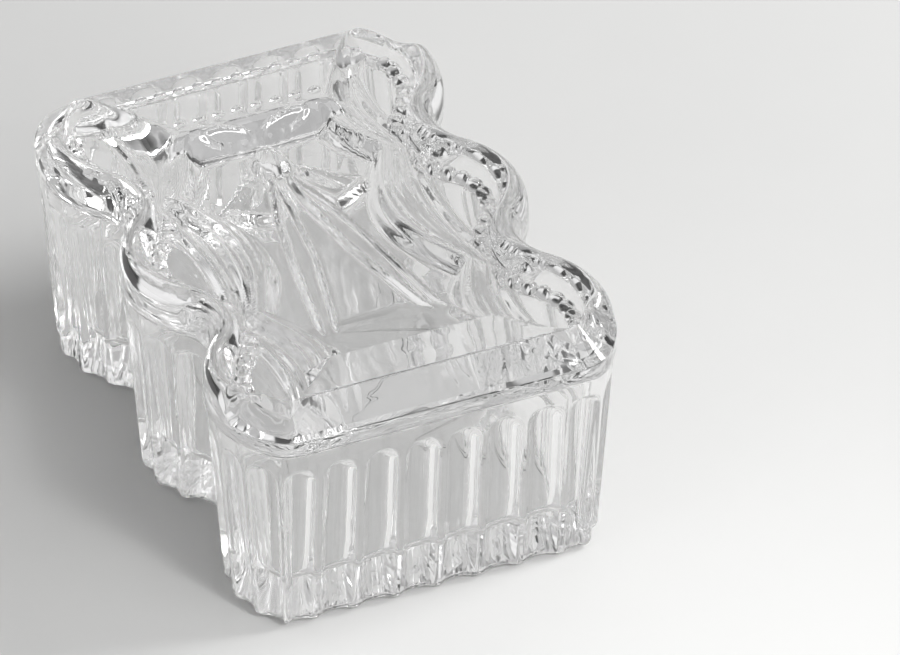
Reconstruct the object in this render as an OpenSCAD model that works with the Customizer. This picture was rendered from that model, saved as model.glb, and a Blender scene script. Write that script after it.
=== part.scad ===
// Pressed glass casket box: a fluted base with a thick foot, and a lift-off lid.
// Millimetres, +Z up, front towards -Y, origin at the centre of the foot.
// Front and back are straight; each long side has three round lobes with two notches between.

/* [Plan] */
// Width over the lobes of the lid
box_w = 80; // [74:1:90]
// Depth from the front edge to the back edge of the lid
box_d = 115; // [108:1:124]
// Radius of the four corner lobes
corner_lobe_r = 21.4; // [20:0.2:24]
// Distance of a corner lobe's centre from the front or back edge
corner_lobe_set = 17; // [15:0.5:18]
// Radius that rounds a corner lobe into the straight edge
corner_round_r = 7.7; // [7:0.1:9]
// Radius of the two middle lobes
middle_lobe_r = 19.5; // [18:0.5:22]
// Radius of the notches between the lobes
notch_r = 9.8; // [8:0.2:12]

/* [Base] */
// Height of the base, foot to rim
base_h = 42; // [36:1:48]
// How far the wall draws in from the rim to the foot
base_taper = 3.4; // [1:0.2:4]
// Rounding where the wall meets the foot
foot_round = 2; // [1:0.25:3]
// Thickness of the bottom
floor_t = 8; // [5:0.5:12]
// Thickness of the wall at the rim
wall_t = 5; // [4.4:0.1:5.6]
// How far the cavity draws in from the mouth to the floor
cavity_draft = 3; // [1:0.1:3.4]
// Rounding where the cavity meets the floor
cavity_round = 3; // [1:0.5:4]
// How far the lid's edge stands out over the base rim
rim_step = 0.4; // [0.2:0.1:1]

/* [Flutes] */
// Number of scooped flutes on each half of the wall, front centre to back centre
flutes_per_half = 23; // [19:1:27]
// How deep a flute is scooped into the wall
flute_depth = 2.3; // [1.2:0.1:2.5]
// How deep a flute is at the foot
flute_foot_depth = 1; // [0.4:0.1:1.2]
// Width of a flute against the distance from flute to flute
flute_share = 0.82; // [0.6:0.01:0.9]
// Plain band between the flutes' arched tops and the rim
flute_band = 3.6; // [2.5:0.1:6]
// Height of a flute's arched top
flute_arch = 4.2; // [3:0.1:5]

/* [Lid] */
// Height of the upright edge of the lid
lid_edge_h = 3.4; // [2.5:0.1:5]
// Rise of the lid from its upright edge to its top
lid_rise = 5.5; // [4:0.1:7]
// Width of the sloping band along the front and back edges
bevel_w = 6; // [5:0.1:6.5]
// Width of the flat bar behind the front band
front_bar_w = 9.6; // [7:0.2:12]
// Run of the gentle slope from the front bar down to the sunk panel
front_slope = 18; // [14:0.5:20]
// Width of the flat bar before the back band
back_bar_w = 17; // [14:0.2:18]
// Run of the steep slope from the back bar down to the sunk panel
back_slope = 3.6; // [3:0.2:6]
// Height of the sunk panel over the seam
panel_h = 2.2; // [1.5:0.1:3]
// Height of the sunk lobe floors over the seam
lobe_floor_h = 3.6; // [2.5:0.1:4.4]
// Depth of the plug under the lid that seats in the mouth
plug_h = 3.4; // [2:0.2:5]
// Gap between the plug and the mouth, all round
plug_gap = 0.5; // [0.4:0.05:0.8]

/* [Ornament] */
// Height of the side swags over the panel
swag_h = 3.6; // [2:0.1:4.5]
// Width of a side swag
swag_w = 11; // [8:0.5:12]
// Distance of a swag's crest from the centre line, at its lobe
swag_x = 15.5; // [14:0.5:17]
// Distance of the corner swags' middles from the centre line across the lid
corner_swag_y = 35.5; // [34:0.5:37]
// Half width and height of an oval bead
bead_r = 1; // [0.8:0.05:1.2]
// Length of a bead against its width
bead_stretch = 1.4; // [1:0.1:1.6]
// Distance from bead to bead
bead_pitch = 3.9; // [3.9:0.1:5]
// Distance of the outer bead row from the back band
bead_row_set = 5.2; // [2:0.2:6]
// Height of the ribbon bow over the panel
bow_h = 1.6; // [1:0.1:2.2]
// Distance of the bow's knot behind the centre
knot_y = 27; // [25:0.5:28]
// Radius of the knot
knot_r = 4.4; // [3.5:0.1:5]
// Width of a ribbon tail at its end
tail_w = 6; // [5:0.5:7]
// Distance of the tails' ends in front of the centre
tail_end_y = 20; // [16:0.5:21]

/* [Hidden] */

seam_z = base_h;
lid_top_z = seam_z + lid_edge_h + lid_rise;
panel_z = seam_z + panel_h;
// Places of the outline points between the middles of two ridges, with a flute's two edges and middle
flute_edge = (1 - flute_share) / 2;
flute_bend = flute_edge + (0.5 - flute_edge) * 0.36;
flute_marks = [0, flute_edge, flute_bend, 0.5, 1 - flute_bend, 1 - flute_edge];
points_per_flute = len(flute_marks);
// Distance over which the bars' ends run down to the swags
bar_blend = 7;
quarter_n = flutes_per_half * points_per_flute / 2;
loop_n = 4 * quarter_n;

// ---- Plan outline: straight front, corner round, corner lobe, notch, middle lobe ----

half_w = box_w / 2;
half_d = box_d / 2;
lobe_c = [half_w - corner_lobe_r, corner_lobe_set - half_d];
mid_c = [half_w - middle_lobe_r, 0];

// The notch circle touches both lobes from outside
lobe_gap = norm(lobe_c - mid_c);
lobe_dir = (lobe_c - mid_c) / lobe_gap;
reach_mid = middle_lobe_r + notch_r;
reach_lobe = corner_lobe_r + notch_r;
notch_along = (reach_mid ^ 2 - reach_lobe ^ 2 + lobe_gap ^ 2) / (2 * lobe_gap);
notch_across = sqrt(reach_mid ^ 2 - notch_along ^ 2);
notch_c = mid_c + lobe_dir * notch_along + [-lobe_dir.y, lobe_dir.x] * notch_across;

function dir_angle(v) = atan2(v.y, v.x);
lobe_end = dir_angle(notch_c - lobe_c);
notch_start = dir_angle(lobe_c - notch_c) + 360;
notch_end = dir_angle(mid_c - notch_c);
mid_start = dir_angle(notch_c - mid_c);

// Corner round on the outline that lies d outside the lid's edge
function round_r(d) = max(corner_round_r + d, 0.6);
function round_y(d) = -(half_d + d - round_r(d));
function round_x(d) =
    lobe_c.x + sqrt((corner_lobe_r + d - round_r(d)) ^ 2 - (round_y(d) - lobe_c.y) ^ 2);
function round_c(d) = [round_x(d), round_y(d)];
function round_end(d) = dir_angle(round_c(d) - lobe_c);

function arc_point(c, r, a0, a1, f) = c + r * [cos(a0 + (a1 - a0) * f), sin(a0 + (a1 - a0) * f)];
function arc_len(r, a0, a1) = r * abs(a1 - a0) * PI / 180;

// One stretch of the quarter outline: f runs from 0 to 1 along it
function stretch_point(k, f, d) =
    k == 0 ? [f * round_x(d), -(half_d + d)] :
    k == 1 ? arc_point(round_c(d), round_r(d), -90, round_end(d), f) :
    k == 2 ? arc_point(lobe_c, corner_lobe_r + d, round_end(d), lobe_end, f) :
    k == 3 ? arc_point(notch_c, notch_r - d, notch_start, notch_end, f) :
             arc_point(mid_c, middle_lobe_r + d, mid_start, 0, f);

stretch_lens = [
    round_x(0),
    arc_len(round_r(0), -90, round_end(0)),
    arc_len(corner_lobe_r, round_end(0), lobe_end),
    arc_len(notch_r, notch_start, notch_end),
    arc_len(middle_lobe_r, mid_start, 0)
];
function sum_to(v, k) = k < 0 ? 0 : v[k] + sum_to(v, k - 1);
quarter_len = sum_to(stretch_lens, 4);
function stretch_of(s, k = 0) = k == 4 || s < sum_to(stretch_lens, k) ? k : stretch_of(s, k + 1);

// Stretch and place on it of each of the quarter's points, flute by flute along the lid's edge
flute_pitch = 2 * quarter_len / flutes_per_half;
function flute_mark(i) = flute_marks[i % points_per_flute];
quarter_marks = [
    for (i = [0:quarter_n])
        let (flutes = floor(i / points_per_flute) + flute_mark(i))
        let (s = min(flutes * flute_pitch, quarter_len - 0.001))
        let (k = stretch_of(s))
        [k, (s - sum_to(stretch_lens, k - 1)) / stretch_lens[k]]
];
function quarter_ring(d) = [for (m = quarter_marks) stretch_point(m[0], m[1], d)];

// The whole outline mirrors one quarter: its point for loop point i, counterclockwise from the
// front centre, and on which side and end of the box it lies
function fold(i) =
    let (r = i % quarter_n)
    floor(i / quarter_n) % 2 == 0 ? r : quarter_n - r;
function side_sign(i) = i < 2 * quarter_n ? 1 : -1;
function end_sign(i) = i < quarter_n || i >= 3 * quarter_n ? 1 : -1;
function ring(d) =
    let (q = quarter_ring(d))
    [for (i = [0:loop_n - 1]) [side_sign(i) * q[fold(i)].x, end_sign(i) * q[fold(i)].y]];

function at_height(pts, z) = [for (p = pts) [p.x, p.y, z]];

// Closed solid through a stack of rings of loop_n points; its two flat ends are fans about the axis
function stack_faces(n) = concat(
    [for (i = [0:loop_n - 1]) [n * loop_n, i, (i + 1) % loop_n]],
    [for (k = [0:n - 2]) for (i = [0:loop_n - 1])
        let (j = (i + 1) % loop_n, a = k * loop_n, b = a + loop_n)
        each [[a + i, b + j, a + j], [a + i, b + i, b + j]]],
    [for (i = [0:loop_n - 1])
        [n * loop_n + 1, (n - 1) * loop_n + (i + 1) % loop_n, (n - 1) * loop_n + i]]
);
module stack(rings) {
    n = len(rings);
    ends = [[0, 0, rings[0][0].z], [0, 0, rings[n - 1][0].z]];
    polyhedron(points = concat([for (r = rings) each r], ends), faces = stack_faces(n));
}

// ---- Base ----

flute_top_z = base_h - flute_band;

// Depth of the scooped flutes at point i and height z: 0 on the ridges and over the arches, 1 in
// the middle of a flute
function flute_across(i) = abs(2 * flute_mark(i) - 1) / flute_share;
function flute_end(z) = max(0, (z - flute_top_z + flute_arch) / flute_arch);
function flute_at(i, z) =
    let (r2 = flute_across(i) ^ 2 + flute_end(z) ^ 2)
    r2 >= 1 ? 0 : sqrt(1 - r2);
function wall_inset(z) = rim_step + base_taper * (1 - z / base_h);

// The flutes reach their full depth above the thick bottom
flute_full_z = floor_t + 2;
function flute_depth_at(z) =
    flute_foot_depth + (flute_depth - flute_foot_depth) * min(z / flute_full_z, 1);

function wall_ring(z, extra = 0) =
    let (ridge = quarter_ring(-(wall_inset(z) + extra)))
    let (deep = quarter_ring(-(wall_inset(z) + extra + flute_depth_at(z))))
    [for (i = [0:loop_n - 1])
        let (k = fold(i), f = flute_at(k, z))
        let (p = ridge[k] * (1 - f) + deep[k] * f)
        [side_sign(i) * p.x, end_sign(i) * p.y, z]];

arch_steps = [0, 0.45, 0.75, 0.93, 1];
function cavity_inset(z) = wall_t + cavity_draft * (base_h - z) / (base_h - floor_t);
function cavity_ring(z, extra = 0) = at_height(ring(-(cavity_inset(z) + extra)), z);

module base() {
    color([0.86, 0.9, 0.9, 0.6])
    stack(concat(
        [wall_ring(0, foot_round), wall_ring(foot_round * 0.3, foot_round * 0.3), wall_ring(foot_round)],
        [wall_ring(flute_full_z)],
        [for (a = arch_steps) wall_ring(flute_top_z - flute_arch * (1 - a))],
        [at_height(ring(-rim_step), base_h)],
        [cavity_ring(base_h), cavity_ring(floor_t + cavity_round)],
        [cavity_ring(floor_t + cavity_round * 0.3, cavity_round * 0.15)],
        [cavity_ring(floor_t, cavity_round * 0.35)]
    ));
}

// ---- Lid ----

function ease(f) = let (c = min(max(f, 0), 1)) c * c * (3 - 2 * c);

// 1 along the straight front and back edges, 0 over the lobes
function bar_share(p) = ease((abs(p.y) - (half_d - bevel_w - front_bar_w)) / bevel_w);
// Sloping band of the bars, and rounded rim of the lobes, over the seam at inset s
function bevel_rise(s) = lid_edge_h + lid_rise * min(s / bevel_w, 1);
function rim_rise(s) =
    s <= bevel_w / 2 ? lid_edge_h + lid_rise * sin(180 * s / bevel_w)
    : lobe_floor_h + (lid_edge_h + lid_rise - lobe_floor_h) * sin(180 * min(s / bevel_w, 1));
function edge_z(p, s) =
    let (w = bar_share(p))
    seam_z + w * bevel_rise(s) + (1 - w) * rim_rise(s);

// A swag hangs across each lobe: its crest runs from notch to notch, and is furthest in at the lobe
notch_y = -notch_c.y;
notch_foot_x = notch_c.x - notch_r - bevel_w;
function swag_phase(y) =
    let (a = abs(y))
    a < notch_y ? cos(90 * a / notch_y)
    : cos(90 * (a - corner_swag_y) / (corner_swag_y - notch_y));
function swag_half(y) = swag_w / 2 * (0.6 + 0.4 * max(swag_phase(y), 0));
function swag_crest(y) =
    swag_x + (notch_foot_x - swag_half(notch_y) - 0.5 - swag_x) * (1 - max(swag_phase(y), 0));

// Contours inside the rim: [place across a swag, share of the bar's width and of its slope's run
// outside it, height at the bars, height at the swags]
contours = [
    [1, 0.08, 0, lid_top_z, seam_z + lobe_floor_h - 0.4],
    [0.45, 0.5, 0, lid_top_z, panel_z + swag_h * 0.85],
    [-0.15, 1, 0, lid_top_z, panel_z + swag_h],
    [-0.65, 1, 0.55, panel_z + (lid_top_z - panel_z) * 0.4, panel_z + swag_h * 0.5],
    [-1, 1, 1, panel_z, panel_z]
];
bar_points = round(quarter_n * 0.36);
function contour_quarter(c, bar_w, slope) =
    let (bar_y = half_d - bevel_w - c[1] * bar_w - c[2] * slope)
    let (end_x = swag_crest(bar_y) + c[0] * swag_half(bar_y))
    [for (i = [0:quarter_n])
        let (f = i <= bar_points ? i / bar_points : (i - bar_points) / (quarter_n - bar_points))
        let (y = i <= bar_points ? bar_y : bar_y * (1 - f))
        let (x = i <= bar_points ? end_x * f : swag_crest(y) + c[0] * swag_half(y))
        [x, -y, c[4] + (c[3] - c[4]) * ease((y - bar_y) / bar_blend + 1)]];
function contour_ring(c) =
    let (front = contour_quarter(c, front_bar_w, front_slope))
    let (back = contour_quarter(c, back_bar_w, back_slope))
    [for (i = [0:loop_n - 1])
        let (p = end_sign(i) > 0 ? front[fold(i)] : back[fold(i)])
        [side_sign(i) * p.x, end_sign(i) * p.y, p.z]];
function rim_ring(s) = [for (p = ring(-s)) [p.x, p.y, edge_z(p, s)]];
function lid_plan(d, z) = at_height(ring(d), z);

plug_inset = wall_t + plug_gap;
rim_steps = [0.12, 0.5, 0.8, 1];

module lid_plate() {
    stack(concat(
        [lid_plan(-(plug_inset + cavity_draft * plug_h / (base_h - floor_t)), seam_z - plug_h)],
        [lid_plan(-plug_inset, seam_z), lid_plan(0, seam_z), lid_plan(0, seam_z + lid_edge_h)],
        [for (s = rim_steps) rim_ring(s * bevel_w)],
        [for (c = contours) contour_ring(c)]
    ));
}

// Low rounded body over round ends [x, y, radius, height over the panel]
module ribbon(ends, h) {
    hull()
        for (e = ends)
            translate([e[0], e[1], panel_z + e[3]])
                scale([1, 1, h / e[2]])
                    sphere(e[2], $fn = 12);
}

// Ribbon bow: a knot, and on each side a loop, a leaf up the back wall and a tail, with a fold on
// the loop and on the tail
fold_r = 0.8;
fold_h = bow_h + 0.5;
leaf_lift = 3;
module bow() {
    loop_mid = [8.5, knot_y - 8, 4.6, 0];
    loop_end = [12.2, knot_y - 14.1, 4.1, 0];
    leaf_mid = [5.4, knot_y + 2.4, 2.4, 0.2];
    leaf_end = [8.6, knot_y + 4.6, 2.9, leaf_lift];
    tail_end = [tail_w * 1.4, -tail_end_y, tail_w / 2, 0];
    ribbon([[0, knot_y + 0.7, knot_r, 0], [0, knot_y - 0.7, knot_r, 0]], bow_h * 1.5);
    for (side = [0, 1])
        mirror([side, 0, 0]) {
            ribbon([[2.1, knot_y - 1.2, 1.6, 0], loop_mid, loop_end], bow_h);
            ribbon([[2.4, knot_y - 2.1, fold_r, 0], [10.4, knot_y - 12.7, fold_r, 0]], fold_h);
            ribbon([[1.9, knot_y + 1.3, 1.4, 0.3], leaf_mid, leaf_end], bow_h * 0.9);
            ribbon([[1.7, knot_y - 4.3, 1.2, 0], tail_end], bow_h * 0.85);
            ribbon([[2.2, knot_y - 5.1, 0.7, 0], [tail_end.x * 0.93, 1 - tail_end_y, fold_r, 0]], fold_h);
        }
}

// Two rows of beads on the back bar: one along its back, one along its front edge
module bead_row(y) {
    count = floor(2 * swag_crest(y) / bead_pitch) + 1;
    for (i = [0:count - 1])
        translate([(i - (count - 1) / 2) * bead_pitch, y, lid_top_z])
            scale([bead_stretch, 1, 1])
                sphere(bead_r, $fn = 12);
}
module beads() {
    bead_row(half_d - bevel_w - bead_row_set);
    bead_row(half_d - bevel_w - back_bar_w + 2 * bead_r);
}

module lid() {
    color([0.9, 0.93, 0.94, 0.6])
    union() {
        lid_plate();
        bow();
        beads();
    }
}

base();
lid();
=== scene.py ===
"""Looks of a pressed glass casket box: a fluted base and a lift-off lid with swags, beads and a bow.

Lengths in the shape functions are millimetres, with +Z up and the front towards -Y.
"""

import math

import bpy
import numpy as np
from mathutils import Matrix, Vector


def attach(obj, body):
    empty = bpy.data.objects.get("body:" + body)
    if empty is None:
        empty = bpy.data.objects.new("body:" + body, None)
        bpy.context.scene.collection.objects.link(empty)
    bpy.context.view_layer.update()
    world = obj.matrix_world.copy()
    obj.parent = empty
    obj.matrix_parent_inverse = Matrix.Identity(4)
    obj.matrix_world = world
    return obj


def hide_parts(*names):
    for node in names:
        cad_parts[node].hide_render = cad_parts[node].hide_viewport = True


bl_info = {
    "name": "Glass casket box",
    "version": (1, 0, 0),
    "blender": (4, 5, 0),
    "location": "View3D > Sidebar > Casket",
    "description": "Pressed glass casket box: fluted base, lid with a ribbon bow, and a stage",
    "category": "Object",
}

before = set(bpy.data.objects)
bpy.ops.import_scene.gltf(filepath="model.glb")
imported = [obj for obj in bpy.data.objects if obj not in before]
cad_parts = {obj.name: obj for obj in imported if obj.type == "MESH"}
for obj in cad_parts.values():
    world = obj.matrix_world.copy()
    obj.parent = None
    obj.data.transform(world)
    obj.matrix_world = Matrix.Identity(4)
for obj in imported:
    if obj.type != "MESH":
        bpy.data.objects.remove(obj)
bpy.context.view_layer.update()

MM = 0.001
QUARTER_TURN = math.pi / 2

# ---- Plan of the box: straight ends, three round lobes on each long side ----

HALF_W = 40.0
HALF_D = 57.5
CORNER_ROUND_R = 7.7
CORNER_LOBE_R = 21.4
MIDDLE_LOBE_R = 19.5
NOTCH_R = 9.8
CORNER_LOBE_SET = 17.0
CORNER_LOBE_C = np.array([HALF_W - CORNER_LOBE_R, CORNER_LOBE_SET - HALF_D])
MIDDLE_LOBE_C = np.array([HALF_W - MIDDLE_LOBE_R, 0.0])

FLUTES_PER_QUARTER = 11.5
POINTS_PER_FLUTE = 14
QUARTER_N = round(FLUTES_PER_QUARTER * POINTS_PER_FLUTE)
LOOP_N = 4 * QUARTER_N
RIDGE_CROWD = 0.6
LEAST_ROUND_R = 0.6


def direction(v):
    """Angle of a plan vector."""
    return math.atan2(v[1], v[0])


def notch_centre():
    """Centre of the notch circle, which touches both lobes from outside."""
    gap = np.linalg.norm(CORNER_LOBE_C - MIDDLE_LOBE_C)
    along = (CORNER_LOBE_C - MIDDLE_LOBE_C) / gap
    reach_mid = MIDDLE_LOBE_R + NOTCH_R
    reach_corner = CORNER_LOBE_R + NOTCH_R
    a = (reach_mid**2 - reach_corner**2 + gap**2) / (2 * gap)
    outwards = np.array([-along[1], along[0]])
    return MIDDLE_LOBE_C + along * a + outwards * math.sqrt(reach_mid**2 - a**2)


NOTCH_C = notch_centre()
NOTCH_Y = -NOTCH_C[1]


def corner_round(d):
    """Radius, centre and end angle of the round between a straight end and a corner lobe."""
    r = max(CORNER_ROUND_R + d, LEAST_ROUND_R)
    y = -(HALF_D + d - r)
    x = CORNER_LOBE_C[0] + math.sqrt((CORNER_LOBE_R + d - r) ** 2 - (y - CORNER_LOBE_C[1]) ** 2)
    centre = np.array([x, y])
    return r, centre, direction(centre - CORNER_LOBE_C)


def quarter_arcs(d):
    """Arcs of the front right quarter at offset d: centre, radius, start and end angle."""
    r, centre, turn = corner_round(d)
    lobe_end = direction(NOTCH_C - CORNER_LOBE_C)
    notch_start = direction(CORNER_LOBE_C - NOTCH_C) + 2 * math.pi
    return [
        (centre, r, -QUARTER_TURN, turn),
        (CORNER_LOBE_C, CORNER_LOBE_R + d, turn, lobe_end),
        (NOTCH_C, NOTCH_R - d, notch_start, direction(MIDDLE_LOBE_C - NOTCH_C)),
        (MIDDLE_LOBE_C, MIDDLE_LOBE_R + d, direction(NOTCH_C - MIDDLE_LOBE_C), 0.0),
    ]


def flute_places(crowd):
    """Quarter points counted in flutes from the front centre, even or crowded about the ridges."""
    turns = np.arange(QUARTER_N + 1) / POINTS_PER_FLUTE
    return turns - crowd * np.sin(2 * math.pi * turns) / (2 * math.pi)


def quarter_marks(places):
    """Stretch and place on it of each quarter point, spaced along the lid's edge."""
    lengths = [corner_round(0)[1][0]] + [r * abs(a1 - a0) for _, r, a0, a1 in quarter_arcs(0)]
    ends = np.cumsum(lengths)
    s = places / FLUTES_PER_QUARTER * (ends[-1] - 1e-6)
    stretch = np.searchsorted(ends, s, side="right").clip(0, 4)
    return stretch, (s - (ends - lengths)[stretch]) / np.array(lengths)[stretch]


EVEN = quarter_marks(flute_places(0))
CROWDED = quarter_marks(flute_places(RIDGE_CROWD))
LOOP = np.arange(LOOP_N)
FOLD = np.where((LOOP // QUARTER_N) % 2 == 0, LOOP % QUARTER_N, QUARTER_N - LOOP % QUARTER_N)
SIDE = np.where(LOOP < 2 * QUARTER_N, 1.0, -1.0)
END = np.where((LOOP < QUARTER_N) | (LOOP >= 3 * QUARTER_N), 1.0, -1.0)


def outline(d, marks=EVEN):
    """The whole outline at offset d from the lid's edge, counterclockwise from the front centre."""
    arcs = quarter_arcs(d)
    stretch, share = marks
    pts = np.stack([share * arcs[0][0][0], np.full_like(share, -(HALF_D + d))], 1)
    for k, (centre, r, a0, a1) in enumerate(arcs, 1):
        angle = a0 + (a1 - a0) * share
        arc = centre + r * np.stack([np.cos(angle), np.sin(angle)], 1)
        pts = np.where((stretch == k)[:, None], arc, pts)
    return pts[FOLD] * np.stack([SIDE, END], 1)


def ring(d, z, marks=EVEN):
    """Outline at offset d with its height, one number or one for each point."""
    return np.column_stack([outline(d, marks), np.broadcast_to(z, LOOP_N)])


def ease(f):
    """0 to 1 with level ends."""
    f = np.clip(f, 0.0, 1.0)
    return f * f * (3 - 2 * f)


def mix(a, b, f):
    """Blend from a at 0 to b at 1."""
    return a + (b - a) * f


def stack_mesh(name, rings, seam_last=False):
    """Closed mesh through rings from the bottom centre outwards and over the top.

    With seam_last the last ring lies on a line and its facing points are joined, otherwise a fan
    about the axis closes it.
    """
    n = len(rings)
    ends = np.array([[0, 0, rings[0][0, 2]], [0, 0, rings[-1][0, 2]]])
    verts = np.concatenate(rings + [ends])
    after = np.roll(LOOP, -1)
    last = (n - 1) * LOOP_N
    bottom_end = np.full(LOOP_N, n * LOOP_N)
    # A triangle is a quad with one corner given twice, which is dropped below
    faces = [np.column_stack([bottom_end, after, LOOP, LOOP])]
    for low in range(0, last, LOOP_N):
        high = low + LOOP_N
        faces.append(np.column_stack([low + LOOP, low + after, high + after, high + LOOP]))
    if not seam_last:
        faces.append(np.column_stack([bottom_end + 1, last + LOOP, last + after, last + after]))
    quads = np.concatenate(faces)
    if seam_last:
        _, first, same = np.unique(
            np.round(rings[-1], 5), axis=0, return_index=True, return_inverse=True
        )
        swap = np.arange(len(verts))
        swap[last : last + LOOP_N] = last + first[same.ravel()]
        quads = swap[quads]
    polys = []
    for q in quads.tolist():
        p = [v for k, v in enumerate(q) if v != q[k - 1]]
        if len(set(p)) > 2:
            polys.append(p)
    used = np.unique([v for p in polys for v in p])
    renumber = np.full(len(verts), -1)
    renumber[used] = np.arange(len(used))
    mesh = bpy.data.meshes.new(name)
    mesh.from_pydata((verts[used] * MM).tolist(), [], [[int(renumber[v]) for v in p] for p in polys])
    mesh.validate()
    return mesh, used


def link_object(name, data):
    """New object in the scene's own collection, at the origin."""
    obj = bpy.data.objects.new(name, data)
    bpy.context.scene.collection.objects.link(obj)
    return obj


def freeze(obj, name):
    """A plain mesh object with the modifiers of obj applied; obj is removed."""
    graph = bpy.context.evaluated_depsgraph_get()
    mesh = bpy.data.meshes.new_from_object(obj.evaluated_get(graph))
    bpy.data.objects.remove(obj)
    mesh.name = name
    return link_object(name, mesh)


def smooth(obj, angle):
    """Smooth shading, with creases left at edges sharper than the angle."""
    obj.data.shade_smooth()
    obj.data.set_sharp_from_angle(angle=angle)


def add_node(tree, kind, links=(), **settings):
    """A node with its settings; links are (input, value or output socket) pairs."""
    node = tree.nodes.new(kind)
    for key, value in settings.items():
        setattr(node, key, value)
    for key, value in links:
        if isinstance(value, bpy.types.NodeSocket):
            tree.links.new(value, node.inputs[key])
        else:
            node.inputs[key].default_value = value
    return node


def linear(hex_colour):
    """Linear RGBA of an sRGB hex colour."""
    parts = [int(hex_colour[k : k + 2], 16) / 255 for k in (1, 3, 5)]
    return [c / 12.92 if c <= 0.04045 else ((c + 0.055) / 1.055) ** 2.4 for c in parts] + [1.0]


# ---- Materials ----

CRYSTAL_IOR = 1.545
WAVE_SIZE = 7.0
WAVE_HEIGHT = 0.05


def pressed_crystal():
    """Clear lead crystal, pressed in an iron mould and fire-polished.

    Its high index gives strong bends and bright edges, fire polish leaves it gloss with a faint
    long waviness, and places seen through many faces look a little grey.
    """
    mat = bpy.data.materials.get("pressed_lead_crystal")
    if mat:
        return mat
    looks = bpy.context.scene.casket_looks
    mat = bpy.data.materials.new("pressed_lead_crystal")
    mat.use_nodes = True
    tree = mat.node_tree
    tree.nodes.clear()
    coords = add_node(tree, "ShaderNodeTexCoord")
    waves = add_node(
        tree,
        "ShaderNodeTexNoise",
        [("Vector", coords.outputs["Object"]), ("Scale", 1 / (WAVE_SIZE * MM)), ("Detail", 1.0)],
    )
    bump = add_node(
        tree,
        "ShaderNodeBump",
        [("Strength", 1.0), ("Distance", WAVE_HEIGHT * MM), ("Height", waves.outputs["Fac"])],
    )
    glass = add_node(
        tree,
        "ShaderNodeBsdfPrincipled",
        [
            ("Base Color", looks.glass_colour[:] + (1.0,)),
            ("Roughness", 0.0),
            ("IOR", CRYSTAL_IOR),
            ("Transmission Weight", 1.0),
            ("Normal", bump.outputs["Normal"]),
        ],
    )
    add_node(tree, "ShaderNodeOutputMaterial", [("Surface", glass.outputs[0])])
    return mat


# ---- Base ----

BASE_H = 42.0
BASE_SEAT = 0.06
BASE_TAPER = 3.4
FOOT_ROUND = 2.0
FLOOR_T = 8.0
WALL_T = 5.0
CAVITY_DRAFT = 3.0
CAVITY_ROUND = 3.0
RIM_STEP = 0.4
FLUTE_BAND = 3.6
FLUTE_ARCH = 4.2
FLUTE_TOP = BASE_H - FLUTE_BAND
FLUTE_FULL_Z = FLOOR_T + 2
# Share of a flute's half width that is flat, and how its flank curves up from there
FLUTE_FLAT = 0.36
FLANK_CURVE = 1.4
FOOT_ZS = [0.0, 0.15, 0.5, 1.0, FOOT_ROUND]
STRAIGHT_RINGS = 17
ARCH_RINGS = 14
CAVITY_RINGS = 7
FLOOR_RINGS = 8
BAND_STEP = 0.5
CAVITY_TOP = BASE_H - 3
BASE_CREASE = math.radians(70)


def wall_inset(z):
    """Inset of the tapered outer wall at a height."""
    return RIM_STEP + BASE_TAPER * (1 - z / BASE_H)


def cavity_inset(z):
    """Inset of the drafted cavity wall at a height."""
    return WALL_T + CAVITY_DRAFT * (BASE_H - z) / (BASE_H - FLOOR_T)


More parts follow.
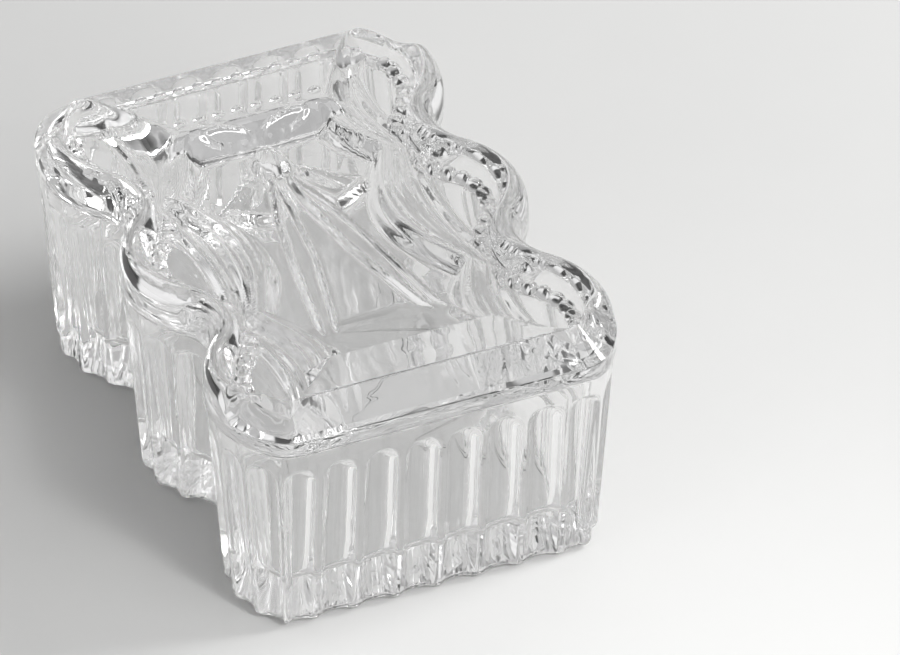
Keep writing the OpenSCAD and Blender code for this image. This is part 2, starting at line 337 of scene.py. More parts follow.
def flute_tree():
    """Geometry nodes that scoop the round-topped flutes out of a plain wall."""
    tree = bpy.data.node_groups.new("flutes", "GeometryNodeTree")
    io = tree.interface
    io.new_socket("Geometry", in_out="INPUT", socket_type="NodeSocketGeometry")
    for name in ("Depth", "Foot Depth", "Full Height", "Share", "Flat", "Flutes Top", "Arch"):
        io.new_socket(name, in_out="INPUT", socket_type="NodeSocketFloat")
    io.new_socket("Material", in_out="INPUT", socket_type="NodeSocketMaterial")
    io.new_socket("Geometry", in_out="OUTPUT", socket_type="NodeSocketGeometry")
    given = add_node(tree, "NodeGroupInput").outputs

    def maths(operation, *values):
        pairs = list(enumerate(values))
        return add_node(tree, "ShaderNodeMath", pairs, operation=operation).outputs[0]

    def field(name, data_type):
        return add_node(
            tree, "GeometryNodeInputNamedAttribute", [("Name", name)], data_type=data_type
        ).outputs["Attribute"]

    place = field("flute_place", "FLOAT")
    inward = field("inward", "FLOAT_VECTOR")
    height = add_node(
        tree, "ShaderNodeSeparateXYZ", [(0, add_node(tree, "GeometryNodeInputPosition").outputs[0])]
    ).outputs["Z"]
    off_middle = maths("ABSOLUTE", maths("MULTIPLY_ADD", maths("FRACT", place), 2.0, -1.0))
    across = maths("DIVIDE", off_middle, given["Share"])
    over = maths("SUBTRACT", height, maths("SUBTRACT", given["Flutes Top"], given["Arch"]))
    end = maths("MAXIMUM", maths("DIVIDE", over, given["Arch"]), 0.0)
    round_sum = maths("ADD", maths("MULTIPLY", across, across), maths("MULTIPLY", end, end))
    flank = add_node(
        tree,
        "ShaderNodeMapRange",
        [("Value", maths("SQRT", round_sum)), ("From Min", given["Flat"]), ("From Max", 1.0)],
    ).outputs["Result"]
    scoop = maths("SUBTRACT", 1.0, maths("POWER", flank, FLANK_CURVE))
    full = add_node(
        tree,
        "ShaderNodeMapRange",
        [
            ("Value", height),
            ("From Max", given["Full Height"]),
            ("To Min", given["Foot Depth"]),
            ("To Max", given["Depth"]),
        ],
        interpolation_type="SMOOTHSTEP",
    ).outputs["Result"]
    depth = maths("MULTIPLY", scoop, full)
    offset = add_node(
        tree, "ShaderNodeVectorMath", [(0, inward), ("Scale", depth)], operation="SCALE"
    ).outputs[0]
    moved = add_node(
        tree, "GeometryNodeSetPosition", [("Geometry", given["Geometry"]), ("Offset", offset)]
    )
    real = add_node(tree, "GeometryNodeRealizeInstances", [(0, moved.outputs[0])])
    dressed = add_node(
        tree,
        "GeometryNodeSetMaterial",
        [("Geometry", real.outputs[0]), ("Material", given["Material"])],
    )
    add_node(tree, "NodeGroupOutput", [(0, dressed.outputs[0])])
    return tree


def run_tree(obj, tree, name, **values):
    """The plain mesh object that a geometry nodes tree makes of obj."""
    mod = obj.modifiers.new("maker", "NODES")
    mod.node_group = tree
    for item in tree.interface.items_tree:
        if item.item_type == "SOCKET" and item.in_out == "INPUT" and item.name in values:
            mod[item.identifier] = values[item.name]
    return freeze(obj, name)


def base_rings():
    """Rings of the plain base from the foot's centre up the wall and down into the cavity."""
    wall = []
    for z in FOOT_ZS:
        drop = FOOT_ROUND * (1 - math.sin(math.acos(1 - z / FOOT_ROUND)))
        wall.append((z, wall_inset(z) + drop))
    straight = np.linspace(FOOT_ROUND, FLUTE_TOP - FLUTE_ARCH, STRAIGHT_RINGS)[1:]
    turns = np.linspace(0, QUARTER_TURN, ARCH_RINGS)[1:]
    arch = FLUTE_TOP - FLUTE_ARCH + FLUTE_ARCH * np.sin(turns)
    for z in [*straight, *arch, FLUTE_TOP + BAND_STEP, BASE_H - BAND_STEP]:
        wall.append((z, wall_inset(z)))
    top = BASE_H - BASE_SEAT
    # Small rounds over the outer and the inner edge of the mouth
    rest = [(top - 0.12, RIM_STEP + 0.1), (top, RIM_STEP + 0.4), (top, WALL_T - 0.3)]
    rest += [(top - 0.1, WALL_T - 0.06), (top - 0.4, WALL_T)]
    cavity_zs = np.linspace(CAVITY_TOP, FLOOR_T + CAVITY_ROUND, CAVITY_RINGS)
    rest += [(z, cavity_inset(z)) for z in cavity_zs]
    for turn in np.linspace(0, QUARTER_TURN, FLOOR_RINGS)[1:]:
        z = FLOOR_T + CAVITY_ROUND * (1 - math.sin(turn))
        rest.append((z, cavity_inset(z) + CAVITY_ROUND * (1 - math.cos(turn))))
    return wall, rest


class CASKET_OT_base(bpy.types.Operator):
    """Builds the fluted glass base with its cavity"""

    bl_idname = "casket.base"
    bl_label = "Base"

    def execute(self, context):
        sizes = context.scene.casket_sizes
        wall, rest = base_rings()
        rings = [ring(-inset, z, CROWDED) for z, inset in wall + rest]
        mesh, used = stack_mesh("base_blank", rings)
        # Plan step of one millimetre inwards, which the depth of a flute scales
        inward = np.zeros((len(rings) * LOOP_N + 2, 3))
        for k, (_, inset) in enumerate(wall):
            step = outline(-inset - 1, CROWDED) - outline(-inset, CROWDED)
            inward[k * LOOP_N : (k + 1) * LOOP_N, :2] = step
        places = flute_places(RIDGE_CROWD)[FOLD]
        place = np.append(np.tile(places, len(rings)), [0.0, 0.0])
        mesh.attributes.new("inward", "FLOAT_VECTOR", "POINT").data.foreach_set(
            "vector", inward[used].ravel()
        )
        mesh.attributes.new("flute_place", "FLOAT", "POINT").data.foreach_set("value", place[used])
        blank = link_object("base_blank", mesh)
        base = run_tree(
            blank,
            flute_tree(),
            "glass_base",
            **{
                "Depth": sizes.flute_depth,
                "Foot Depth": sizes.flute_foot_depth,
                "Full Height": FLUTE_FULL_Z * MM,
                "Share": sizes.flute_share,
                "Flat": FLUTE_FLAT,
                "Flutes Top": FLUTE_TOP * MM,
                "Arch": FLUTE_ARCH * MM,
                "Material": pressed_crystal(),
            },
        )
        smooth(base, BASE_CREASE)
        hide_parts("base")
        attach(base, "base")
        return {"FINISHED"}


# ---- Lid ----

SEAM_Z = BASE_H
LID_EDGE_H = 3.4
LID_RISE = 5.5
BEVEL_W = 6.0
RIM_FULLNESS = 0.42
TOP_Z = SEAM_Z + LID_EDGE_H + LID_RISE
PANEL_H = 2.2
PANEL_Z = SEAM_Z + PANEL_H
LOBE_FLOOR_H = 3.6
PLUG_H = 3.4
PLUG_GAP = 0.5
PLUG_INSET = WALL_T + PLUG_GAP
SEAT_GAP = 0.06
LID_CREASE = math.radians(50)

# Swags: where across them the crest and the outer hem lie, and how far they fall and stand up
SWAG_W = 12.6
SWAG_X = 16.6
CORNER_SWAG_Y = 35.5
NOTCH_SHARE = 0.6
NOTCH_GAP = 0.5
SWAG_FACE = 0.75
SWAG_CREST = -0.25
SWAG_FALL = 0.72
HEM_PLACE = 1.12
HEM_W = 0.14
HEM_H = 0.34
STRAND_CURVE = 0.8
STRAND_FADE = 0.3

# Bars: half widths of their flat tops at distances from the middle, and their slopes
FRONT_BAR_Y = 41.9
FRONT_BAR_YS = [FRONT_BAR_Y, 46.7, 50.7, HALF_D - BEVEL_W]
FRONT_BAR_HALVES = [16.1, 21.3, 25.5, 27.0]
FRONT_FOOT = 3.2
BACK_BAR_Y = 34.5
BACK_BAR_YS = [BACK_BAR_Y, 43.0, 50.1, HALF_D - BEVEL_W]
BACK_BAR_HALVES = [14.7, 19.6, 25.5, 27.0]
BACK_SLOPE = 4.4
BACK_WALL_H = TOP_Z - PANEL_Z
SIDE_SLOPE = 0.85
RAMP_LENGTH = 18.0
RAMP_CURVE = 1.2
RAMP_EDGE = 0.2
RAMP_FADE = 0.8

# Bow: leaf loops on the back wall
LEAF_X = 5.6
LEAF_Z = 3.9
LEAF_TILT = 0.3
LEAF_HALF_L = 5.8
LEAF_HALF_W = 2.1
LEAF_RING_R = 0.82
LEAF_RING_W = 0.13
LEAF_RING_H = 0.3
LEAF_BODY_R = 0.8
LEAF_BODY_H = 0.08
LEAF_FADE = 0.3

# Bow: edges of a tail at distances in front of the middle, with a rib along each
TAIL_INNER_AT = [-20, -13, 3.3, 19.6, 30]
TAIL_INNER = [0.7, 0.8, 2.6, 6.4, 9.0]
TAIL_OUTER_AT = [-20, -8, 4.4, 19.5, 30]
TAIL_OUTER = [2.6, 6.4, 8.9, 11.4, 13.2]
TAIL_TOP_Y = 21
TAIL_END_FADE = 0.9
TAIL_H = 0.35
TAIL_FADE = 0.8
RIB_PLACE = 0.8
RIB_W = 0.5
RIB_H = 0.8

# Bow: the open ribbon loops, which fan out from beside the knot
FAN_X = 1.2
FAN_Y = 26.0
FAN_WAY = math.radians(-58)
FAN_SPREAD = math.radians(18)
FAN_LENGTH = 19.4
FAN_H = 0.7
FAN_RISE = 0.75
FAN_SIDE_FADE = 1.2
FAN_END_FADE = 2.2
PLEAT_H = 0.4
PLEAT_END = 17
PLEAT_FADE = 8

# Bow: the knot, which narrows towards the back
KNOT_Y = 25.8
KNOT_HALF_W = 3.9
KNOT_HALF_L = 4.9
KNOT_TAPER = 0.22
KNOT_EDGE = 0.3
KNOT_EDGE_H = 1.1
KNOT_DOME_H = 0.9

# Rings of the lid's mesh; the spine's points crowd together at the steep back wall
PANEL_FADE = 1.2
RIM_INSETS = (0.0, 0.15, 0.35, 0.7, 1.1, 1.6, 2.2, 2.8, 3.4, 4.0, 4.6, 5.1, 5.5, 5.8, BEVEL_W)
SPINE_Y = 38.0
SPINE_FROM = [-SPINE_Y, 20.0, 25.5, 37.0, 42.0]
SPINE_TO = [-SPINE_Y, 20.0, 30.2, 35.6, SPINE_Y]
INNER_SHARES = np.concatenate(
    [np.linspace(0, 0.2, 11)[1:], np.linspace(0.2, 0.6, 40)[1:], np.linspace(0.6, 1, 51)[1:]]
)


def bar_share(y):
    """1 along the straight ends, 0 over the lobes."""
    return ease((np.abs(y) - FRONT_BAR_Y) / BEVEL_W)


def edge_height(y, s):
    """Height of the lid at inset s from its edge: a sloping band, or a rounded rim on the lobes."""
    share = min(s / BEVEL_W, 1)
    slope = LID_EDGE_H + LID_RISE * share
    low = LID_EDGE_H if s <= BEVEL_W / 2 else LOBE_FLOOR_H
    swell = max(math.sin(math.pi * share), 0) ** RIM_FULLNESS
    roll = low + (LID_EDGE_H + LID_RISE - low) * swell
    return SEAM_Z + mix(roll, slope, bar_share(y))


def swag_phase(y):
    """1 at the middle of each lobe, 0 at the notches."""
    a = np.abs(y)
    middle = np.cos(QUARTER_TURN * a / NOTCH_Y)
    corner = np.cos(QUARTER_TURN * (a - CORNER_SWAG_Y) / (CORNER_SWAG_Y - NOTCH_Y))
    return np.clip(np.where(a < NOTCH_Y, middle, corner), 0, 1)


def swag_place(x, y):
    """Place across the swag: -1 at its inner ridge, 1 at its outer one."""
    phase = swag_phase(y)
    half = SWAG_W / 2 * mix(NOTCH_SHARE, 1, phase)
    notch_foot = NOTCH_C[0] - NOTCH_R - BEVEL_W
    reach = notch_foot - SWAG_W / 2 * NOTCH_SHARE - NOTCH_GAP - SWAG_X
    crest = SWAG_X + reach * (1 - phase)
    return (np.abs(x) - crest) / half


def swags(x, y, sizes):
    """Draped swags with fine strands, over the panel."""
    c = swag_place(x, y)
    fall = ease((c - SWAG_CREST) / (1 - SWAG_CREST))
    drape = ease((c + 1) / SWAG_FACE) * (1 - SWAG_FALL * fall)
    drape = drape + HEM_H * np.exp(-(((c - HEM_PLACE) / HEM_W) ** 2))
    strand = np.abs(np.sin(math.pi * sizes.swag_strands * (c + 1) / 2)) ** STRAND_CURVE
    window = ease((c + 1) / STRAND_FADE) * ease((1 - c) / STRAND_FADE)
    z = PANEL_Z + sizes.swag_height / MM * drape
    return z + sizes.strand_depth / MM * (strand - 0.5) * window


def leaf_relief(ax, share):
    """How far a leaf loop of the bow stands out of the back wall, at a share of the wall's height."""
    side = ax - LEAF_X
    rise = share * BACK_WALL_H - LEAF_Z
    along = side * math.cos(LEAF_TILT) + rise * math.sin(LEAF_TILT)
    over = rise * math.cos(LEAF_TILT) - side * math.sin(LEAF_TILT)
    r = np.hypot(along / LEAF_HALF_L, over / LEAF_HALF_W)
    edge = LEAF_RING_H * np.exp(-(((r - LEAF_RING_R) / LEAF_RING_W) ** 2))
    return edge + LEAF_BODY_H * ease((LEAF_BODY_R - r) / LEAF_FADE)


def bars(x, y, z):
    """The flat front and back bars with their slopes, over the swags at height z."""
    ax = np.abs(x)
    side = SIDE_SLOPE * (np.interp(y, BACK_BAR_YS, BACK_BAR_HALVES) - ax)
    share = ease(np.minimum(y - BACK_BAR_Y, side) / BACK_SLOPE + 1)
    out = y - BACK_BAR_Y + leaf_relief(ax, share)
    z = mix(z, np.maximum(z, TOP_Z), ease(np.minimum(out, side) / BACK_SLOPE + 1))
    side = SIDE_SLOPE * (np.interp(-y, FRONT_BAR_YS, FRONT_BAR_HALVES) - ax)
    inside = np.minimum(-y - FRONT_BAR_Y, side)
    z = mix(z, np.maximum(z, TOP_Z), ease(inside / FRONT_FOOT + 1))
    ramp = np.clip((-y - FRONT_BAR_Y + RAMP_LENGTH) / RAMP_LENGTH, 0, 1)
    ramp_z = PANEL_Z + (TOP_Z - PANEL_Z) * ramp**RAMP_CURVE
    window = ease((RAMP_EDGE - swag_place(x, y)) / RAMP_FADE)
    return np.maximum(z, mix(PANEL_Z, ramp_z, window))


def bow_tail(ax, y, lift):
    """Height of a ribbon tail over the panel, which runs out into the front slope."""
    inner = np.interp(-y, TAIL_INNER_AT, TAIL_INNER)
    outer = np.interp(-y, TAIL_OUTER_AT, TAIL_OUTER)
    edge = np.minimum(ax - inner, outer - ax)
    rib = np.exp(-(((edge - RIB_PLACE) / RIB_W) ** 2))
    body = TAIL_H * ease(edge / TAIL_FADE) + RIB_H * rib
    return lift * body * ease((TAIL_TOP_Y - y) / TAIL_END_FADE)


def bow_loop(ax, y, lift):
    """Height of an open, pleated ribbon loop over the panel."""
    away = np.hypot(ax - FAN_X, y - FAN_Y)
    off_middle = np.arctan2(y - FAN_Y, ax - FAN_X) - FAN_WAY
    side = (FAN_SPREAD - np.abs(off_middle)) * away
    pleat = np.cos(off_middle / FAN_SPREAD * math.pi * 2)
    rise = FAN_RISE * (away / FAN_LENGTH) ** 2
    body = FAN_H + rise + PLEAT_H * pleat * ease((PLEAT_END - away) / PLEAT_FADE)
    return lift * body * ease(side / FAN_SIDE_FADE) * ease((FAN_LENGTH - away) / FAN_END_FADE)


def bow_knot(ax, y, lift):
    """Height of the knot over the panel."""
    kx = ax / (KNOT_HALF_W - KNOT_TAPER * (y - KNOT_Y))
    ky = (y - KNOT_Y) / KNOT_HALF_L
    k = np.hypot(kx, ky)
    return lift * (KNOT_EDGE_H * ease((1 - k) / KNOT_EDGE) + KNOT_DOME_H * np.clip(1 - k**2, 0, 1))


def bow(x, y, z, sizes):
    """The ribbon bow pressed up from the panel, over the bars and swags at height z."""
    ax = np.abs(x)
    lift = sizes.bow_height / MM
    raised = np.maximum(bow_tail(ax, y, lift), bow_loop(ax, y, lift))
    return np.maximum(z, PANEL_Z + np.maximum(raised, bow_knot(ax, y, lift)))


def lid_top(x, y, sizes):
    """Height of the lid's top inside its rim."""
    return bow(x, y, bars(x, y, swags(x, y, sizes)), sizes)


def lid_rings(sizes):
    """Rings of the lid from the plug's centre out to the edge, over the rim and in to the spine."""
    seam = SEAM_Z + SEAT_GAP
    foot = SEAM_Z - PLUG_H
    # Small rounds at the plug's foot and at the lower edge of the lid
    under = [
        (PLUG_INSET + 1.1, foot),
        (PLUG_INSET + 0.6, foot + 0.16),
        (PLUG_INSET + 0.34, foot + 0.6),
        (PLUG_INSET, seam),
        (0.5, seam),
        (0.14, seam + 0.1),
        (0.0, seam + 0.45),
        (0.0, SEAM_Z + LID_EDGE_H - 0.5),
    ]
    rings = [ring(-inset, z) for inset, z in under]
    for s in RIM_INSETS:
        pts = outline(-s)
        rings.append(np.column_stack([pts, edge_height(pts[:, 1], s)]))
    foot_pts = outline(-BEVEL_W)
    spine_y = np.interp(foot_pts[:, 1], SPINE_FROM, SPINE_TO)
    spine = np.column_stack([np.zeros(LOOP_N), spine_y])
    foot_z = edge_height(foot_pts[:, 1], BEVEL_W)
    reach = np.linalg.norm(spine - foot_pts, axis=1)
    for t in INNER_SHARES:
        pts = mix(foot_pts, spine, t)
        z = lid_top(pts[:, 0], pts[:, 1], sizes)
        rings.append(np.column_stack([pts, mix(foot_z, z, ease(t * reach / PANEL_FADE))]))
    return rings


BEAD_SEGMENTS = 20
BEAD_RINGS = 12


def bead_tree():
    """Geometry nodes that string oval beads along the lines of a mesh."""
    tree = bpy.data.node_groups.new("beads", "GeometryNodeTree")
    io = tree.interface
    io.new_socket("Geometry", in_out="INPUT", socket_type="NodeSocketGeometry")
    for name in ("Radius", "Stretch", "Pitch"):
        io.new_socket(name, in_out="INPUT", socket_type="NodeSocketFloat")
    io.new_socket("Material", in_out="INPUT", socket_type="NodeSocketMaterial")
    io.new_socket("Geometry", in_out="OUTPUT", socket_type="NodeSocketGeometry")
    given = add_node(tree, "NodeGroupInput").outputs
    curve = add_node(tree, "GeometryNodeMeshToCurve", [(0, given["Geometry"])])
    spaced = add_node(
        tree,
        "GeometryNodeResampleCurve",
        [("Curve", curve.outputs[0]), ("Length", given["Pitch"])],
        mode="LENGTH",
    )
    points = add_node(tree, "GeometryNodeCurveToPoints", [(0, spaced.outputs[0])], mode="EVALUATED")
    ball = add_node(
        tree,
        "GeometryNodeMeshUVSphere",
        [("Segments", BEAD_SEGMENTS), ("Rings", BEAD_RINGS), ("Radius", given["Radius"])],
    )
    stretch = add_node(
        tree, "ShaderNodeCombineXYZ", [("X", 1.0), ("Y", 1.0), ("Z", given["Stretch"])]
    )
    strung = add_node(
        tree,
        "GeometryNodeInstanceOnPoints",
        [
            ("Points", points.outputs["Points"]),
            ("Instance", ball.outputs["Mesh"]),
            ("Rotation", points.outputs["Rotation"]),
            ("Scale", stretch.outputs[0]),
        ],
    )
    real = add_node(tree, "GeometryNodeRealizeInstances", [(0, strung.outputs[0])])
    dressed = add_node(
        tree,
        "GeometryNodeSetMaterial",
        [("Geometry", real.outputs[0]), ("Material", given["Material"])],
    )
    add_node(tree, "NodeGroupOutput", [(0, dressed.outputs[0])])
    return tree


def line_mesh(name, lines):
    """Mesh of open lines, each an array of points."""
    verts = []
    edges = []
    for line in lines:
        start = len(verts)
        verts += (np.asarray(line) * MM).tolist()
        edges += [(start + k, start + k + 1) for k in range(len(line) - 1)]
    mesh = bpy.data.meshes.new(name)
    mesh.from_pydata(verts, edges, [])
    return mesh


# Each row on the back bar: its place along the box, and how far it reaches to each side
BEAD_ROWS = [(46.3, 17.55), (36.5, 13.65)]
LOBE_BEAD_INSET = 7.5
LOBE_BEAD_Z = SEAM_Z + LOBE_FLOOR_H
LOBE_BEAD_PHASE = 0.45
LOBE_BEAD_END_Y = 45.5
LOBE_BEAD_LEAST_X = 20


def lobe_lines():
    """Lines of beads inside the rim of each lobe, clear of the notches and the bars."""
    pts = outline(-LOBE_BEAD_INSET)
    off_notch = swag_phase(pts[:, 1]) > LOBE_BEAD_PHASE
    off_bars = (np.abs(pts[:, 1]) < LOBE_BEAD_END_Y) & (np.abs(pts[:, 0]) > LOBE_BEAD_LEAST_X)
    inside = off_notch & off_bars
    turn = int(np.flatnonzero(~inside)[0])
    lines = []
    line = []
    for k in np.roll(LOOP, -turn):
        if inside[k]:
            line.append([*pts[k], LOBE_BEAD_Z])
        elif line:
            lines.append(line)
            line = []
    return lines


def unite(obj, extra, name):
    """One closed glass piece of obj and the beads standing in it."""
    mod = obj.modifiers.new("unite", "BOOLEAN")
    mod.operation = "UNION"
    mod.solver = "MANIFOLD"
    mod.object = extra
    whole = freeze(obj, name)
    bpy.data.objects.remove(extra)
    return whole


class CASKET_OT_lid(bpy.types.Operator):
    """Builds the glass lid with its rim, bars, swags, bow and beads"""

    bl_idname = "casket.lid"
    bl_label = "Lid"

    def execute(self, context):
        sizes = context.scene.casket_sizes
        mesh, _ = stack_mesh("lid_blank", lid_rings(sizes), seam_last=True)
        mesh.materials.append(pressed_crystal())
        lid = link_object("lid_blank", mesh)
        tree = bead_tree()
        rows = [[(-end, y, TOP_Z), (end, y, TOP_Z)] for y, end in BEAD_ROWS]
        strings = [
            (rows, sizes.row_bead_radius, sizes.row_bead_stretch, sizes.row_bead_pitch),
            (lobe_lines(), sizes.lobe_bead_radius, 1.0, sizes.lobe_bead_pitch),
        ]
        for lines, radius, stretch, pitch in strings:
            beads = run_tree(
                link_object("bead_lines", line_mesh("bead_lines", lines)),
                tree,
                "beads",
                Radius=radius,
                Stretch=stretch,
                Pitch=pitch,
                Material=pressed_crystal(),
            )
            lid = unite(lid, beads, "glass_lid")
        smooth(lid, LID_CREASE)
        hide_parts("lid")
        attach(lid, "lid")
        return {"FINISHED"}


# ---- Stage ----

CAMERA_AZIMUTH = math.radians(23.1)
CAMERA_ELEVATION = math.radians(36.54)
CAMERA_ROLL = math.radians(-0.38)
CAMERA_DISTANCE = 4.97
CAMERA_LENS = 1058.6
CAMERA_RIGHT = 0.02329
CAMERA_UP = 0.01949
CLIP_NEAR = 0.1
CLIP_FAR = 50


def camera():
    """Camera at the photograph's view of the box."""
    az = CAMERA_AZIMUTH
    el = CAMERA_ELEVATION
    back = Vector((-math.sin(az) * math.cos(el), -math.cos(az) * math.cos(el), math.sin(el)))
    level = Vector((math.cos(az), -math.sin(az), 0))
    rise = back.cross(level)
    right = level * math.cos(CAMERA_ROLL) + rise * math.sin(CAMERA_ROLL)
    up = rise * math.cos(CAMERA_ROLL) - level * math.sin(CAMERA_ROLL)
    data = bpy.data.cameras.new("camera")
    data.lens = CAMERA_LENS
    data.clip_start = CLIP_NEAR
    data.clip_end = CLIP_FAR
    cam = link_object("camera", data)
    turn = Matrix((right, up, back)).transposed().to_4x4()
    place = back * CAMERA_DISTANCE + right * CAMERA_RIGHT + up * CAMERA_UP
    cam.matrix_world = Matrix.Translation(place) @ turn
    bpy.context.scene.camera = cam


LAMP_TARGET = (0, 0, 0.02)
SIDE_LAMP_PLACE = (0.62, -0.12, 0.55)
SIDE_LAMP_SIZE = 0.30
FRONT_LAMP_PLACE = (0.26, -0.62, 0.56)
FRONT_LAMP_SIZE = 0.50
SPOT_PLACE = (0.1, -0.5, 0.45)
SPOT_TARGET = (0.01, -0.12, 0)
SPOT_CONE = math.radians(27)
SPOT_SIZE = 0.05


def place_lamp(name, data, place, target):
    """A lamp at a place, aimed at a target."""
    lamp = link_object(name, data)
    lamp.location = place
    lamp.rotation_euler = (Vector(target) - Vector(place)).to_track_quat("-Z", "Y").to_euler()


def soft_lamp(name, place, size, power):
    """Square area lamp aimed at the box."""
    data = bpy.data.lights.new(name, "AREA")
    data.size = size
    data.energy = power
    place_lamp(name, data, place, LAMP_TARGET)


def table_spot(power):
    """Soft spot lamp on the table in front, in place of the light that the glass throws there."""
    data = bpy.data.lights.new("table_spot", "SPOT")
    data.energy = power
    data.spot_size = SPOT_CONE
    data.spot_blend = 1.0
    data.shadow_soft_size = SPOT_SIZE
    place_lamp("table_spot", data, SPOT_PLACE, SPOT_TARGET)


WINDOWS = 5
WINDOW_TURN = 1.6
WALL_TONE = 0.05
WINDOW_TONE = 0.9
CEILING_TONE = 0.48
# Where the soft edges of the windows, of their sills and of the ceiling begin and end
PANE_EDGE = (-0.1, 0.3)
SILL_EDGE = (0.1, 0.3)
CEILING_EDGE = (0.54, 0.7)


def studio_world():
    """Room with tall windows all round, dark wall between them and a light grey ceiling.

    Clear glass shows little of its own, so its edges and swirls are drawn by this light and dark.
    """
    world = bpy.data.worlds.new("windowed_room")
    bpy.context.scene.world = world
    world.use_nodes = True
    tree = world.node_tree
    tree.nodes.clear()
    coords = add_node(tree, "ShaderNodeTexCoord")
    way = add_node(tree, "ShaderNodeSeparateXYZ", [(0, coords.outputs["Generated"])]).outputs

    def maths(operation, *values):
        pairs = list(enumerate(values))
        return add_node(tree, "ShaderNodeMath", pairs, operation=operation).outputs[0]

    def soft_edge(value, edge):
        low, high = edge
        links = [("Value", value), ("From Min", low), ("From Max", high)]
        return add_node(
            tree, "ShaderNodeMapRange", links, interpolation_type="SMOOTHSTEP"
        ).outputs["Result"]

    def blend(share, low, high):
        links = [(0, share), (6, low), (7, high)]
        return add_node(tree, "ShaderNodeMix", links, data_type="RGBA").outputs[2]

    def grey(tone):
        return (tone, tone, tone, 1)

    around = maths("MULTIPLY_ADD", maths("ARCTAN2", way["Y"], way["X"]), WINDOWS, WINDOW_TURN)
    column = soft_edge(maths("COSINE", around), PANE_EDGE)
    pane = maths("MULTIPLY", column, soft_edge(way["Z"], SILL_EDGE))
    walls = blend(pane, grey(WALL_TONE), grey(WINDOW_TONE))
    room = blend(soft_edge(way["Z"], CEILING_EDGE), walls, grey(CEILING_TONE))
    light = add_node(tree, "ShaderNodeBackground", [("Color", room), ("Strength", 1.0)])
    add_node(tree, "ShaderNodeOutputWorld", [("Surface", light.outputs[0])])


TABLE_HALF = 8.0
# Just under the foot, so that the two faces never lie in one plane
TABLE_Z = -0.0003
TABLE_ROUGHNESS = 0.75
TABLE_SPECULAR = 0.1
MOTTLE_SIZE = 14.0
MOTTLE_TONE = 0.985
SHOW_THROUGH = 0.45


def matt_table():
    """Matt pale laminate table: even, with a very faint mottle and no gloss.

    Seen through the glass it shows in part its own pale colour, as a lit table does, and seen
    directly it keeps the box's shadow.
    """
    looks = bpy.context.scene.casket_looks
    pale = looks.floor_colour[:] + (1.0,)
    mat = bpy.data.materials.new("matt_pale_laminate")
    mat.use_nodes = True
    tree = mat.node_tree
    tree.nodes.clear()
    coords = add_node(tree, "ShaderNodeTexCoord")
    mottle = add_node(
        tree,
        "ShaderNodeTexNoise",
        [("Vector", coords.outputs["Object"]), ("Scale", 1 / (MOTTLE_SIZE * MM))],
    )
    mottled = [c * MOTTLE_TONE for c in pale[:3]] + [1.0]
    board_colour = add_node(
        tree,
        "ShaderNodeMix",
        [(0, mottle.outputs["Fac"]), (6, pale), (7, mottled)],
        data_type="RGBA",
    )
    board = add_node(
        tree,
        "ShaderNodeBsdfPrincipled",
        [
            ("Base Color", board_colour.outputs[2]),
            ("Roughness", TABLE_ROUGHNESS),
            ("Specular IOR Level", TABLE_SPECULAR),
        ],
    )
    lit = add_node(tree, "ShaderNodeEmission", [("Color", pale), ("Strength", 1.0)])
    path = add_node(tree, "ShaderNodeLightPath")
    share = add_node(
        tree,
        "ShaderNodeMath",
        [(0, path.outputs["Is Transmission Ray"]), (1, SHOW_THROUGH)],
        operation="MULTIPLY",
    )
    both = add_node(
        tree,
        "ShaderNodeMixShader",
        [(0, share.outputs[0]), (1, board.outputs[0]), (2, lit.outputs[0])],
    )
    add_node(tree, "ShaderNodeOutputMaterial", [("Surface", both.outputs[0])])
    return mat


GLASS_BOUNCES = 32


class CASKET_OT_stage(bpy.types.Operator):
    """Builds the table, the lamps, the room and the camera"""

    bl_idname = "casket.stage"
    bl_label = "Stage"

    def execute(self, context):
        looks = context.scene.casket_looks
        mesh = bpy.data.meshes.new("table")
        signs = [(-1, -1), (1, -1), (1, 1), (-1, 1)]
        corners = [(x * TABLE_HALF, y * TABLE_HALF, TABLE_Z) for x, y in signs]
        mesh.from_pydata(corners, [], [(0, 1, 2, 3)])
        table = link_object("table", mesh)
        mesh.materials.append(matt_table())
        soft_lamp("side_lamp", SIDE_LAMP_PLACE, SIDE_LAMP_SIZE, looks.side_power)
        soft_lamp("front_lamp", FRONT_LAMP_PLACE, FRONT_LAMP_SIZE, looks.front_power)
        table_spot(looks.spot_power)
        studio_world()
        camera()
        context.scene.view_settings.view_transform = "Standard"
        # Thick glass turns light back inside itself many times, and each turn counts as a bounce
        cycles = context.scene.cycles
        cycles.max_bounces = GLASS_BOUNCES
        cycles.glossy_bounces = GLASS_BOUNCES
        cycles.transmission_bounces = GLASS_BOUNCES
        return {"FINISHED"}


# ---- Sizes, looks and the panel ----


def length(name, description, default, low, high):
    """Length property whose default and limits are given in millimetres."""
    return bpy.props.FloatProperty(
        name=name,
        description=description,
        default=default * MM,
        min=low * MM,
        max=high * MM,
        unit="LENGTH",
        precision=5,
    )


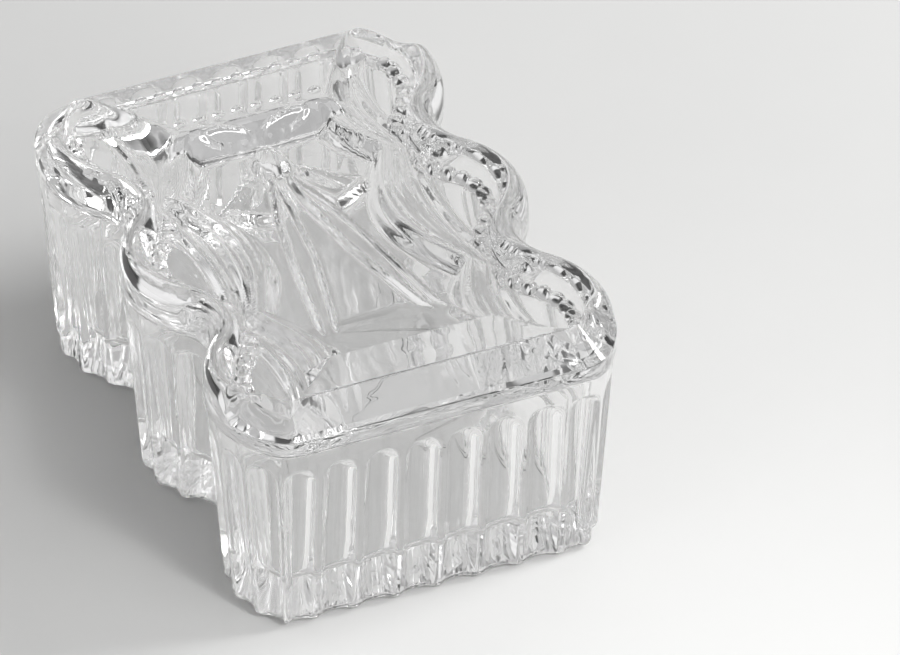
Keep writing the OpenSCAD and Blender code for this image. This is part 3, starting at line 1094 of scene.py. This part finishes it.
class CasketSizes(bpy.types.PropertyGroup):
    """Sizes of the flutes and of the lid's ornament"""

    flute_depth: length("Flute depth", "How deep a flute is scooped into the wall", 2.45, 1.2, 2.6)
    flute_foot_depth: length("Flute depth at the foot", "Depth of a flute at the foot", 1.0, 0.4, 1.2)
    flute_share: bpy.props.FloatProperty(
        name="Flute width",
        description="Width of a flute against the distance from flute to flute",
        default=0.85,
        min=0.6,
        max=0.9,
    )
    swag_height: length("Swag height", "Height of the side swags over the panel", 3.6, 2, 4.5)
    strand_depth: length("Strand depth", "Depth of the grooves between a swag's strands", 0.5, 0, 1)
    swag_strands: bpy.props.IntProperty(
        name="Strands", description="Number of strands in a swag", default=5, min=2, max=8
    )
    bow_height: length("Bow height", "Height of the ribbon bow over the panel", 1.6, 1, 2.2)
    row_bead_radius: length("Row bead radius", "Half width of the beads on the back bar", 0.96, 0.6, 1.1)
    row_bead_stretch: bpy.props.FloatProperty(
        name="Row bead stretch", description="Length of a row bead against its width", default=1.4
    )
    row_bead_pitch: length("Row bead pitch", "Distance from bead to bead on the back bar", 3.9, 3, 5)
    lobe_bead_radius: length("Lobe bead radius", "Radius of the beads in the lobes", 1.65, 0.8, 1.9)
    lobe_bead_pitch: length("Lobe bead pitch", "Distance from bead to bead in the lobes", 3.1, 2.4, 5)


class CasketLooks(bpy.types.PropertyGroup):
    """Colours and lamp powers"""

    glass_colour: bpy.props.FloatVectorProperty(
        name="Glass colour",
        description="Tint of the clear crystal",
        subtype="COLOR",
        default=linear("#FCFCFC")[:3],
        min=0,
        max=1,
    )
    floor_colour: bpy.props.FloatVectorProperty(
        name="Table colour",
        description="Colour of the table",
        subtype="COLOR",
        default=linear("#E8E8E7")[:3],
        min=0,
        max=1,
    )
    side_power: bpy.props.FloatProperty(
        name="Side lamp", description="Power of the lamp at the right", default=3.7, unit="POWER"
    )
    front_power: bpy.props.FloatProperty(
        name="Front lamp", description="Power of the lamp at the front", default=1.6, unit="POWER"
    )
    spot_power: bpy.props.FloatProperty(
        name="Table spot", description="Power of the spot on the table", default=5.2, unit="POWER"
    )


class CASKET_PT_panel(bpy.types.Panel):
    """Sidebar panel with the sizes, the looks and a button for each piece and the stage"""

    bl_idname = "CASKET_PT_panel"
    bl_label = "Casket"
    bl_space_type = "VIEW_3D"
    bl_region_type = "UI"
    bl_category = "Casket"

    def draw(self, context):
        for group in (context.scene.casket_sizes, context.scene.casket_looks):
            for name in group.__annotations__:
                self.layout.prop(group, name)
        for operator in (CASKET_OT_base, CASKET_OT_lid, CASKET_OT_stage):
            self.layout.operator(operator.bl_idname)


CLASSES = (
    CasketSizes,
    CasketLooks,
    CASKET_OT_base,
    CASKET_OT_lid,
    CASKET_OT_stage,
    CASKET_PT_panel,
)


def register():
    """Adds the operators, the panel and the two property groups."""
    for cls in CLASSES:
        bpy.utils.register_class(cls)
    bpy.types.Scene.casket_sizes = bpy.props.PointerProperty(type=CasketSizes)
    bpy.types.Scene.casket_looks = bpy.props.PointerProperty(type=CasketLooks)


def unregister():
    """Takes away what register added."""
    del bpy.types.Scene.casket_looks
    del bpy.types.Scene.casket_sizes
    for cls in reversed(CLASSES):
        bpy.utils.unregister_class(cls)


def main():
    """Builds the stage and the pieces."""
    register()
    bpy.ops.casket.stage()
    bpy.ops.casket.base()
    bpy.ops.casket.lid()


if __name__ == "__main__":
    main()
